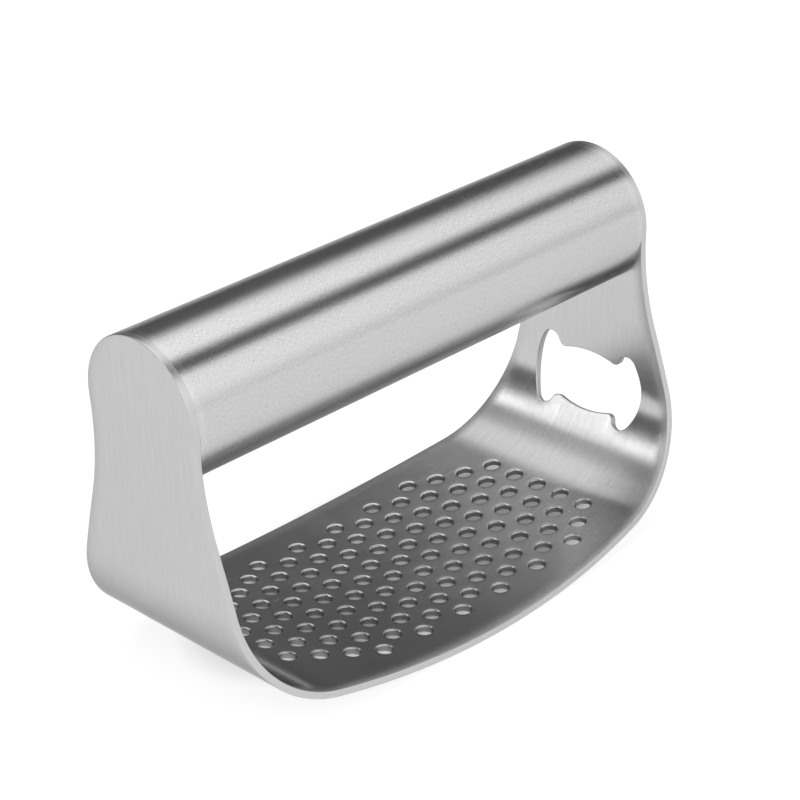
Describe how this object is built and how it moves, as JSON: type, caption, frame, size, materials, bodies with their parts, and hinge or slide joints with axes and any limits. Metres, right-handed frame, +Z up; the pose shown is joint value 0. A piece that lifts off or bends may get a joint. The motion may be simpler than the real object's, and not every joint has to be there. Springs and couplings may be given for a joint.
{
  "type": "garlic rocker",
  "caption": "Stainless steel garlic press that rocks: a bent perforated strip with a round tube handle between its walls and a bottle opener cut through a wall.",
  "frame": {"origin": "middle of the curved plate's underside, where it touches a flat board", "axes": "+X along the handle towards the wall with the bottle opener, +Y across the strip, +Z up towards the handle"},
  "size_m": [0.123, 0.0624, 0.0766],
  "materials": {
    "strip_steel": "brushed along the strip's length",
    "tube_steel": "fine brushing round the tube",
    "weld_steel": "ground and polished flush"
  },
  "bodies": {
    "root": {"rocker_strip": "strip_steel", "handle_tube": "tube_steel", "left_weld_ring": "weld_steel", "right_weld_ring": "weld_steel"}
  },
  "joints": []
}
